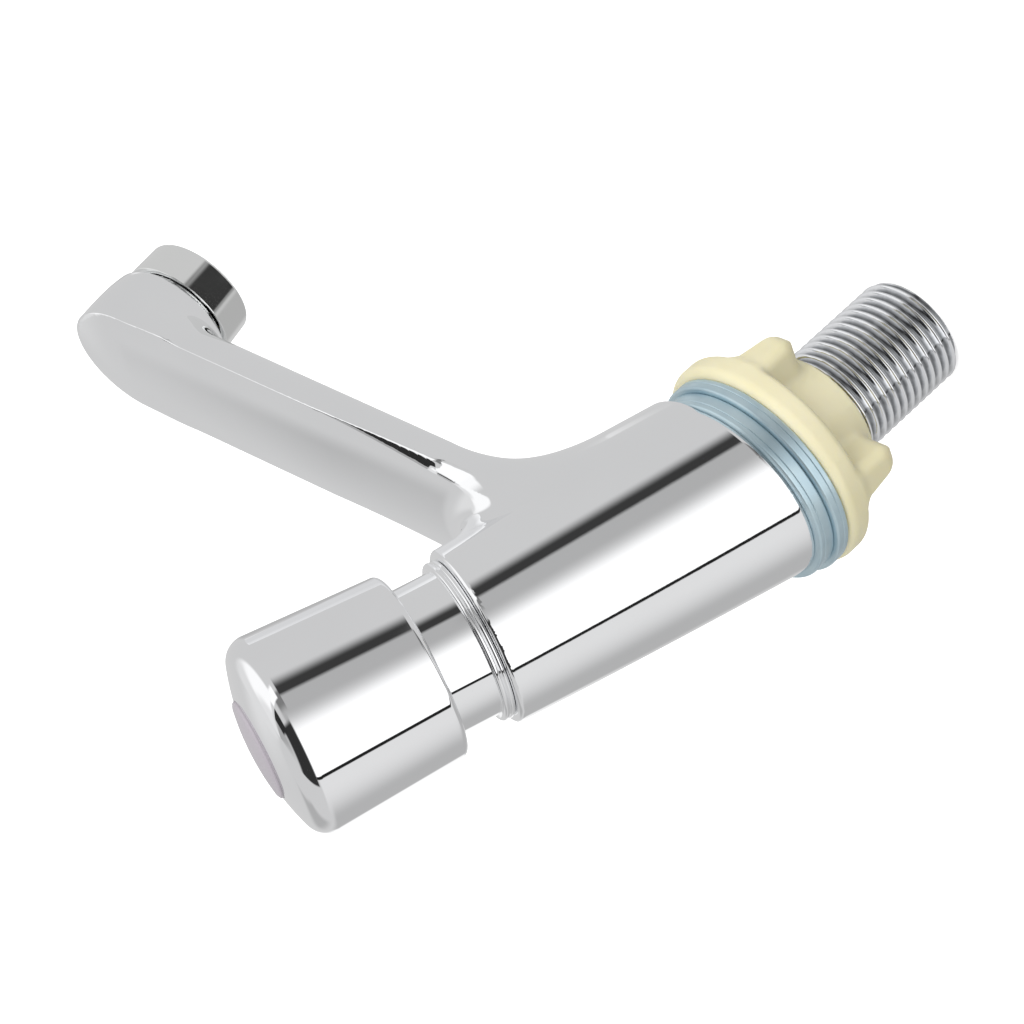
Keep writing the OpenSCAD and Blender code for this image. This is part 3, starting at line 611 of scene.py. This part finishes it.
# Bonnet: a turned and chromed brass sleeve, screwed into the barrel. Its collar of two beads closes the
# joint, and its neck guides the button and holds the spring.
SLEEVE_R = 11.9
SLEEVE_S = 36.3
BEAD_R = 0.5
BEAD_ARC = (-90, 66)
COLLAR_R = 14.4
COLLAR_S = 46.5
NECK_R = 13.0
NECK_S = 62.0
NECK_LIP = 2.0
NECK_HOLE_R = 8.0
NECK_BORE_R = 10.1
SEAL_S = 43.0
SEAL_DEPTH_R = 10.7
SEAL_HALF = 0.65

bead_angle = np.radians(np.linspace(*BEAD_ARC, 14))[:, None]
lower_bead = np.hstack([COLLAR_R - BEAD_R + BEAD_R * np.cos(bead_angle),
                        BARREL_TOP_S + BEAD_R + BEAD_R * np.sin(bead_angle)])
upper_bead = np.hstack([lower_bead[::-1, :1], 2 * (BARREL_TOP_S + 2 * BEAD_R) - lower_bead[::-1, 1:]])
sleeve = outline([
    (NECK_HOLE_R, NECK_S - NECK_LIP, 0.2), (NECK_BORE_R, NECK_S - NECK_LIP, 0.3),
    (NECK_BORE_R, SLEEVE_S, 0.2), (SLEEVE_R, SLEEVE_S, 0.3),
    (SLEEVE_R, SEAL_S - SEAL_HALF, 0.08), (SEAL_DEPTH_R, SEAL_S - SEAL_HALF, 0.08),
    (SEAL_DEPTH_R, SEAL_S + SEAL_HALF, 0.08), (SLEEVE_R, SEAL_S + SEAL_HALF, 0.08),
    (SLEEVE_R, BARREL_TOP_S, 0.0), (NECK_R, COLLAR_S, 0.0),
    (NECK_R, NECK_S, 0.8), (NECK_HOLE_R, NECK_S, 0.2),
])
bead_row = int(np.argmax((sleeve[:, 0] == SLEEVE_R) & (sleeve[:, 1] == BARREL_TOP_S))) + 1
sleeve = np.vstack([sleeve[:bead_row], lower_bead, upper_bead, sleeve[bead_row:]])
neck_chrome = chrome("neck_chrome", (0.925, 0.93, 0.94), 0.0015, 0.025)
neck_sleeve = lathe("neck_sleeve", sleeve, LEAN, AXIS_AT, neck_chrome)
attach(neck_sleeve, "tap")
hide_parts("bonnet")

# Button: a chromed shell, a little wider at the front, with a soft edge that runs into a shallow dome. A
# boss inside sits on the spindle, and a bare disc is let into the dome over the screw.
CAP_REAR_R = 16.4
CAP_REAR_S = 54.2
CAP_FRONT_R = 17.55
CAP_FRONT_S = 82.6
CAP_ROUND = 4.2
CAP_WALL = 1.7
CAP_WALL_GAIN = 0.3
CAP_INSIDE_S = 80.5
CAP_BOSS_R = 5.0
CAP_BOSS_S = 69.0
DOME_H = 2.2
STEM_R = 2.55
STEM_TOP_S = 76.0
SCREW_R = 1.6
SCREW_HEAD_R = 3.3
SCREW_HEAD_H = 1.5
BADGE_R = 8.7
BADGE_T = 1.2
BADGE_PROUD = 0.5
BADGE_EDGE = 0.35
BADGE_GAP = 0.05
RECESS_ROUND = 0.12
DOME_STOP = 0.14
dome_edge_r = CAP_FRONT_R - CAP_ROUND
dome_r = (dome_edge_r ** 2 + (DOME_H + CAP_ROUND) ** 2 - CAP_ROUND ** 2) / (2 * DOME_H)
dome_tilt = asin(dome_edge_r / (dome_r - CAP_ROUND))
dome_top_s = CAP_FRONT_S + DOME_H
badge_seat_s = dome_top_s - (dome_r - (dome_r ** 2 - BADGE_R ** 2) ** 0.5) - BADGE_T + BADGE_PROUD
screw_seat_s = badge_seat_s - SCREW_HEAD_H


def dome_line(start_r, end_r, lift, count):
    """Points of the dome's sphere between two radii, lifted off it."""
    radius = np.linspace(start_r, end_r, count)
    return np.stack([radius, dome_top_s - dome_r + np.sqrt(dome_r ** 2 - radius ** 2) + lift], 1)


edge_angle = np.linspace(0, pi / 2 - dome_tilt, 25)
cap_edge = np.stack([dome_edge_r + CAP_ROUND * np.cos(edge_angle),
                     CAP_FRONT_S - CAP_ROUND + CAP_ROUND * np.sin(edge_angle)], 1)
recess_r = BADGE_R + BADGE_GAP
recess_s = dome_line(recess_r, recess_r, 0, 1)[0, 1]
# The last two corners only steer the rounding of their neighbours: the edge and the dome replace them
cap_inside = outline([
    (recess_r, recess_s, RECESS_ROUND), (recess_r, badge_seat_s, 0.05), (SCREW_HEAD_R, badge_seat_s, 0.05),
    (SCREW_HEAD_R, screw_seat_s, 0.05), (SCREW_R, screw_seat_s, 0.05), (SCREW_R, STEM_TOP_S, 0.05),
    (STEM_R, STEM_TOP_S, 0.05), (STEM_R, CAP_BOSS_S, 0.15), (CAP_BOSS_R, CAP_BOSS_S, 0.3),
    (CAP_BOSS_R, CAP_INSIDE_S, 0.5), (CAP_FRONT_R - CAP_WALL - CAP_WALL_GAIN, CAP_INSIDE_S, 2.5),
    (CAP_REAR_R - CAP_WALL, CAP_REAR_S, 0.25), (CAP_REAR_R, CAP_REAR_S, 1.2),
    (CAP_FRONT_R, CAP_FRONT_S - CAP_ROUND, 0.0), (dome_edge_r, recess_s + 0.001, 0.0),
])
cap_dome = dome_line(dome_r * sin(dome_tilt), recess_r + DOME_STOP, 0, 24)[1:]
cap_profile = np.vstack([cap_inside[:-2], cap_edge, cap_dome])
button_chrome = chrome("button_chrome", (0.925, 0.928, 0.94), 0.0015, 0.022)
button_shell = lathe("button_shell", cap_profile, LEAN, AXIS_AT, button_chrome, 320)
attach(button_shell, "button")
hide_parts("button_cap")

lilac = Nodes(bpy.data.materials.new("lilac_disc"))
lilac_place = lilac.place()
lilac_cloud = lilac.noise(lilac_place, 70.0, 2.0)
lilac_grain = lilac.noise(lilac_place, 1500.0, 3.0)
lilac_share = lilac.between(lilac_cloud, 0.3, 0.7)
lilac.surface({
    "Base Color": lilac.mix(lilac_share, (0.315, 0.287, 0.32, 1), (0.34, 0.312, 0.345, 1)),
    "Roughness": 0.34 + lilac_grain * 0.06,
    "Coat Weight": 0.3,
    "Normal": lilac.bump(lilac_grain, 0.0006 * MM),
})
badge_side = outline([
    (0, badge_seat_s, 0), (BADGE_R, badge_seat_s, 0.1),
    (BADGE_R, recess_s + BADGE_PROUD - 0.05, BADGE_EDGE), (0, dome_top_s + BADGE_PROUD, 0),
])
badge_dome = dome_line(BADGE_R - BADGE_EDGE - 0.2, 0, BADGE_PROUD, 24)
badge_profile = np.vstack([badge_side[:-1], badge_dome])
badge_disc = lathe("badge_disc", badge_profile, LEAN, AXIS_AT, lilac.owner, 192)
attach(badge_disc, "button")
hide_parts("cap_badge")

# Tail: a brass pipe with a half inch parallel pipe thread of Whitworth form, chromed with the body, and
# painted shade darkens the roots of the thread. It is fixed in the foot and runs down through washers and
# nut.
THREAD_R = 10.4775
PITCH = 1.814
THREAD_DEPTH = 0.640327 * PITCH
THREAD_ROUND = 0.137329 * PITCH
FLANK = radians(27.5)
TAIL_LOW = -46.0
TAIL_HIGH = 8.5
TAIL_BORE_R = 7.0
TAIL_CHAMFER = 0.9
TAIL_FACE_GAP = 0.1
ROWS_A_PITCH = 15


def thread_radius(angle, z):
    """The radius over the thread: round crests and roots joined by straight flanks, along a helix."""
    turn = z / PITCH - angle / (2 * pi)
    off_crest = np.abs(turn - np.round(turn)) * PITCH
    off_root = PITCH / 2 - off_crest
    bend = THREAD_ROUND * cos(FLANK)
    flank = THREAD_R - THREAD_ROUND * (1 - sin(FLANK)) - (off_crest - bend) / tan(FLANK)
    crest_arc = np.sqrt(np.maximum(THREAD_ROUND ** 2 - off_crest ** 2, 0))
    crest = THREAD_R - THREAD_ROUND + crest_arc
    root_arc = np.sqrt(np.maximum(THREAD_ROUND ** 2 - off_root ** 2, 0))
    root = THREAD_R - THREAD_DEPTH + THREAD_ROUND - root_arc
    return np.where(off_crest < bend, crest, np.where(off_root < bend, root, flank))


tail_angle = np.linspace(0, 2 * pi, 128, endpoint=False)
tail_z = np.linspace(TAIL_LOW, TAIL_HIGH, round((TAIL_HIGH - TAIL_LOW) / PITCH * ROWS_A_PITCH))[:, None]
end_cone = THREAD_R - TAIL_CHAMFER + np.minimum(tail_z - TAIL_LOW, TAIL_HIGH - tail_z)
threaded = np.minimum(thread_radius(tail_angle, tail_z), end_cone)
face_r = THREAD_R - TAIL_CHAMFER - TAIL_FACE_GAP
# The top face, then the bore downwards and the lower face, after the threaded rows that run upwards
inside = outline([
    (TAIL_BORE_R, TAIL_HIGH, 0.3), (TAIL_BORE_R, TAIL_LOW, 0.4),
    (face_r, TAIL_LOW, 0.0), (face_r, TAIL_HIGH, 0.0),
])
inside = np.roll(inside, 1, 0)
tail_r = np.vstack([threaded, inside[:, :1] + 0 * tail_angle])
tail_h = np.vstack([tail_z + 0 * tail_angle, inside[:, 1:] + 0 * tail_angle])
tail_grid = np.stack([tail_r * np.cos(tail_angle), tail_r * np.sin(tail_angle), tail_h], -1)
tail_points, tail_faces, tail_normals = wrapped(tail_grid)
cut = Nodes(bpy.data.materials.new("thread_chrome"))
cut_place = cut.place()
cut_radius = cut.off_axis(cut_place)
cut_marks = cut.noise(cut_place, 700.0, 5.0, 0.7)
# Painted shade: the base colour goes darker with radius, from the crests down into the thread's roots
cut_root = (THREAD_R - THREAD_DEPTH + 0.2) * MM
cut_crest = (THREAD_R + 0.05) * MM
root_shade_share = cut.between(cut_radius + cut_marks * (0.5 * MM), cut_root, cut_crest)
cut.surface({
    "Base Color": cut.mix(root_shade_share, (0.30, 0.31, 0.32, 1), (0.88, 0.89, 0.91, 1)),
    "Metallic": 1.0,
    "Roughness": 0.03 + cut_marks * 0.06,
    "Normal": cut.bump(cut_marks, 0.006 * MM),
})
tail_thread = mesh_piece("tail_thread", tail_points, tail_faces, tail_normals, cut.owner)
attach(tail_thread, "tap")
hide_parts("tail_shank")

# Washers: two turned discs, plated and passivated to a satin steel blue. The upper one lies against the
# foot and the lower one on the nut, and both hang a little off the tail's axis.
WASHER_BORE_R = 11.4
WASHER_SLIP = 0.5
UPPER_R = 18.6
UPPER_T = 3.2
LOWER_R = 19.6
LOWER_T = 2.6
GROOVE_HALF = 0.12

blue = Nodes(bpy.data.materials.new("blue_passivate"))
blue_place = blue.place()
blue_height = blue.along(blue_place, (0, 0, 1))
blue_radius = blue.off_axis(blue_place)
blue_rings = blue.add("ShaderNodeTexNoise", {"noise_dimensions": "1D"},
                      {"W": blue_radius + blue_height * 1.3, "Scale": 2600.0, "Detail": 3.0})
blue_cloud = blue.noise(blue_place, 130.0, 3.0)
blue_share = blue.between(blue_cloud, 0.3, 0.7)
blue.surface({
    "Base Color": blue.mix(blue_share, (0.46, 0.60, 0.67, 1), (0.57, 0.70, 0.75, 1)),
    "Metallic": 0.85,
    "Roughness": 0.31 + blue_rings * 0.04,
    "Normal": blue.bump(blue_rings, 0.0006 * MM),
})


def washer(top, radius, thickness, groove):
    """A flat ring with rounded edges and one fine groove round its side."""
    side = top - groove
    return outline([
        (WASHER_BORE_R, top, 0.2), (WASHER_BORE_R, top - thickness, 0.2),
        (radius, top - thickness, 0.35), (radius, side - GROOVE_HALF, 0.04),
        (radius - GROOVE_HALF, side, 0.04), (radius, side + GROOVE_HALF, 0.04), (radius, top, 0.45),
    ])


for washer_name, washer_node, washer_profile in (
    ("washer_top", "washer_upper", washer(0, UPPER_R, UPPER_T, 1.1)),
    ("washer_bottom", "washer_lower", washer(-UPPER_T, LOWER_R, LOWER_T, 1.5)),
):
    washer_disc = lathe(washer_name, washer_profile, 0, (0, WASHER_SLIP, 0), blue.owner)
    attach(washer_disc, "washers")
    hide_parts(washer_node)

# Wing nut: moulded in cream nylon, slightly translucent. A thick flange bears on the lower washer, a
# conical hub takes the thread, and four wings for the fingers run down from the flange in soft fillets.
# The wings melt into flange and hub, so the nut is drawn from a field too.
NUT_TOP = -UPPER_T - LOWER_T
NUT_H = 16.0
FLANGE_R = 20.7
FLANGE_T = 5.2
FLANGE_ROUND = 1.5
FLANGE_TOP_ROUND = 1.8
HUB_R = 13.8
HUB_RIM_R = 11.7
HUB_ROUND = 0.4
HUB_FILLET = 1.2
NUT_BORE_R = 10.56
WING_N = 4
WING_TURN = radians(18)
WING_H = 9.3
WING_OUT_R = 20.1
WING_HALF = 3.75
WING_LEAN = 0.06
WING_DRAFT = 0.12
WING_ROUND = 2.0
WING_END_ROUND = 3.4
WING_FILLET = 1.5
WING_ROOT = 2.0
NUT_CELL = 0.45
NUT_SPAN = (-21.5, 21.5)
NUT_MARGIN = 1
NUT_SHINE_STEP = 0.1


def nut_field(x, y, z):
    """A rounded flange, a cone and four leaning, drafted wings, joined with fillets and bored through."""
    depth = NUT_TOP - z
    radius = np.hypot(x, y)
    rim = round_max(radius - FLANGE_R, -depth, FLANGE_TOP_ROUND)
    flange = round_max(rim, depth - FLANGE_T, FLANGE_ROUND)
    cone_r = HUB_R + (HUB_RIM_R - HUB_R) * (depth - FLANGE_T) / (NUT_H - FLANGE_T)
    hub = round_max(radius - cone_r, np.abs(depth - NUT_H / 2) - NUT_H / 2, HUB_ROUND)
    step = 2 * pi / WING_N
    angle = (np.arctan2(y, x) - WING_TURN + step / 2) % step - step / 2
    below = depth - FLANGE_T
    face = radius * np.cos(angle) - WING_OUT_R + WING_LEAN * np.maximum(below, 0)
    side = np.abs(radius * np.sin(angle)) - WING_HALF + WING_DRAFT * np.maximum(below, 0)
    ends = np.maximum(below - WING_H, WING_ROOT - depth)
    wing = round_max(round_max(side, face, WING_ROUND), ends, WING_END_ROUND)
    whole = blend_min(blend_min(flange, hub, HUB_FILLET), wing, WING_FILLET)
    return np.maximum(np.maximum(whole, radius - FLANGE_R), NUT_BORE_R - radius)


nylon = Nodes(bpy.data.materials.new("cream_nylon"))
nylon_place = nylon.place()
nylon_cloud = nylon.noise(nylon_place, 55.0, 3.0)
nylon_grain = nylon.noise(nylon_place, 1300.0, 3.0)
nylon_share = nylon.between(nylon_cloud, 0.3, 0.7)
nylon.surface({
    "Base Color": nylon.mix(nylon_share, (0.625, 0.58, 0.38, 1), (0.67, 0.625, 0.435, 1)),
    "Roughness": 0.42 + nylon_grain * 0.1,
    "Subsurface Weight": 0.45,
    "Subsurface Radius": (1.0, 0.85, 0.45),
    "Subsurface Scale": 0.003,
    "Normal": nylon.bump(nylon_grain, 0.01 * MM),
})
nut_side = grid_lines(*NUT_SPAN, NUT_CELL)
nut_height = grid_lines(NUT_TOP - NUT_H - NUT_MARGIN, NUT_TOP + NUT_MARGIN, NUT_CELL)
nut_points, nut_quads = skin(nut_field, [nut_side, nut_side, nut_height])
nut_shine = slope(nut_field, nut_points, NUT_SHINE_STEP)
nut_piece = mesh_piece("nut_wings", nut_points, nut_quads.tolist(), nut_shine, nylon.owner)
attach(nut_piece, "nut")
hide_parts("wing_nut")

# Studio: a pale floor under the tap, and round it the panels that a polished thing is photographed in: a
# grey room with a tall white light, black flags beside it and a thin gap that draws one dark line.
FLOOR_HALF = 6.0
ROOM_GREY = 201
CHROME_SHARE = 0.92
bpy.context.scene.view_settings.view_transform = "Standard"


def light(grey):
    """The light that shows as this grey, from 0 to 255, in chrome that mirrors its own share of it."""
    shown = grey / 255
    return (shown / 12.92 if shown <= 0.04045 else ((shown + 0.055) / 1.055) ** 2.4) / CHROME_SHARE


floor_mesh = bpy.data.meshes.new("floor")
floor_z = cad_box[0][2]
floor_signs = ((-1, -1), (1, -1), (1, 1), (-1, 1))
floor_corners = [(x * FLOOR_HALF, y * FLOOR_HALF, floor_z) for x, y in floor_signs]
floor_mesh.from_pydata(floor_corners, [], [(0, 1, 2, 3)])
floor = bpy.data.objects.new("floor", floor_mesh)
bpy.context.scene.collection.objects.link(floor)
floor_nodes = Nodes(bpy.data.materials.new("pale_floor"))
floor_nodes.surface({"Base Color": (0.9, 0.9, 0.9, 1), "Roughness": 0.9,
                     "Emission Color": (1, 1, 1, 1), "Emission Strength": 0.35})
floor_mesh.materials.append(floor_nodes.owner)
floor.visible_glossy = False
floor.visible_diffuse = False

room = Nodes(bpy.data.worlds.new("studio"))
bpy.context.scene.world = room.owner
direction = room.add("ShaderNodeTexCoord", {}, {}, "Generated")
round_x = room.along(direction, (1, 0, 0))
round_y = room.along(direction, (0, cos(LEAN), sin(LEAN)))
bearing = round_y.sum("ARCTAN2", round_y, round_x) * (180 / pi)
height = round_x.sum("ARCSINE", room.along(direction, LEAN_DIRECTION)) * (180 / pi)


def window(value, span, soft):
    """1 while the value is in the span, with a fade of its own width at each end."""
    rise = room.between(value, span[0] - soft[0] / 2, span[0] + soft[0] / 2)
    return rise * room.between(value, span[1] - soft[1] / 2, span[1] + soft[1] / 2, 1.0, 0.0)


def panel(behind, bearings, soft, heights, soft_heights, grey):
    """Lays a panel over what is behind it. Bearings go round the barrel's axis and heights along it, in
    degrees, and soft is how wide the fade is at each end."""
    centre = sum(bearings) / 2
    half = (bearings[1] - bearings[0]) / 2
    turn = (bearing + (540 - centre)) % 360 - 180
    mask = window(turn, (-half, half), soft) * window(height, heights, soft_heights)
    return behind + mask * (light(grey) - behind)


seen = room.add("ShaderNodeValue", {}, {})
seen.socket.default_value = light(ROOM_GREY)
# The dim wall, and the pale one that leads up to the tall light
seen = panel(seen, (-8, 45), (16, 50), (-70, 2), (20, 10), 176)
seen = panel(seen, (52, 88.5), (50, 0.5), (-70, 12), (20, 6), 221)
# Above the tap: a pale ceiling with a darker corner
seen = panel(seen, (110, 185), (60, 30), (62, 95), (12, 1), 165)
seen = panel(seen, (190, 300), (30, 60), (50, 95), (16, 1), 225)
# The grey wall beyond the tall light, and the dark flag at its end
seen = panel(seen, (150, 189), (20, 3), (-34, 30), (8, 12), 173)
seen = panel(seen, (160, 190), (14, 8), (-34, -21), (4, 8), 118)
seen = panel(seen, (174, 194), (12, 6), (-2, 28), (4, 8), 122)
seen = panel(seen, (188, 205), (5, 16), (-15, 0), (3, 6), 56)
# The edge of the white ceiling light, which draws the spout's crease
seen = panel(seen, (187, 204), (3, 6), (13, 44), (5, 6), 255)
# The tall white light
seen = panel(seen, (91, 152), (1.5, 38), (-64, 14), (8, 6), 275)
# The gap between the pale wall and the tall light
seen = panel(seen, (87.3, 91.2), (1.2, 1.2), (-45, 17), (10, 4), 30)
# The black flag over the tall light, and the white light behind it
seen = panel(seen, (78, 159), (4, 8), (16.5, 58), (5, 8), 48)
seen = panel(seen, (150, 186), (8, 2), (46, 68), (4, 4), 44)
seen = panel(seen, (196, 280), (6, 50), (28, 62), (8, 14), 252)
# The ceiling is pale over the button, and dims towards the far wall that the spout's flat top mirrors
seen = panel(seen, (276, 328), (20, 20), (32, 80), (14, 10), 219)
seen = panel(seen, (346, 378), (16, 14), (14, 46), (14, 8), 172)
# Two narrow lights at the far side, with a dim strip between
seen = panel(seen, (298, 325), (14, 14), (-12, -3), (4, 6), 178)
seen = panel(seen, (279, 291), (5, 6), (-13, -6), (4, 3), 242)
seen = panel(seen, (334, 354), (7, 8), (-11, 2), (5, 8), 252)
# The dim floor low in front, and the dark table edge that the outlet mirrors
seen = panel(seen, (-20, 80), (30, 30), (-75, -38), (10, 8), 176)
towards_outlet = room.along(direction, OUTLET_DIRECTION)
table = window(towards_outlet, (-0.585, -0.465), (0.03, 0.03)) * window(bearing % 360, (88, 185), (24, 14))
seen = seen + table * (light(54) - seen)

# Only reflections show the panels. Diffuse light comes from an even room that is brighter overhead, and
# the camera sees plain white behind the floor.
soft_room = room.between(room.along(direction, (-0.35, 0.25, 0.9)), -1.0, 1.0, 0.75, 1.25)
is_glossy = room.add("ShaderNodeLightPath", {}, {}, "Is Glossy Ray")
is_camera = room.add("ShaderNodeLightPath", {}, {}, "Is Camera Ray")
shown = soft_room + is_glossy * (seen - soft_room)
shown = shown + is_camera * (1.0 - shown)
background = room.add("ShaderNodeBackground", {}, {"Color": shown, "Strength": 1.0})
room.add_output("ShaderNodeOutputWorld", background)

# One large softbox beside the camera, above and to its left, gives the washers and the nut their shading.
SOFTBOX_AT = (-0.8, -0.15, 0.55)
key = bpy.data.lights.new("softbox", "AREA")
key.shape = "DISK"
key.size = 0.6
key.energy = 4.6
softbox = bpy.data.objects.new("softbox", key)
softbox.visible_glossy = False
bpy.context.scene.collection.objects.link(softbox)
softbox.location = SOFTBOX_AT
softbox.rotation_mode = "QUATERNION"
softbox.rotation_quaternion = Vector(SOFTBOX_AT).to_track_quat("Z", "Y")

# Camera: a long lens, with the place and turn that fit the outlines of the photograph.
FOCAL_PX = 2699.3
IMAGE_PX = 1024
SENSOR_MM = 36.0
CAMERA_AT = (-0.3664, 0.1914, 0.1895)
CAMERA_RIGHT = np.array([0.1085, 0.7055, -0.7003])
CAMERA_FORWARD = np.array([0.8041, -0.4766, -0.3555])
camera_down = np.cross(CAMERA_FORWARD, CAMERA_RIGHT)
camera_down /= np.linalg.norm(camera_down)
camera_right = np.cross(camera_down, CAMERA_FORWARD)
axes = np.stack([camera_right / np.linalg.norm(camera_right), -camera_down, -CAMERA_FORWARD], 1)
lens = bpy.data.cameras.new("camera")
lens.sensor_width = SENSOR_MM
lens.lens = FOCAL_PX * SENSOR_MM / IMAGE_PX
lens.clip_start = 0.01
camera = bpy.data.objects.new("camera", lens)
bpy.context.scene.collection.objects.link(camera)
camera.matrix_world = Matrix.Translation(CAMERA_AT) @ Matrix(axes.tolist()).to_4x4()
bpy.context.scene.camera = camera
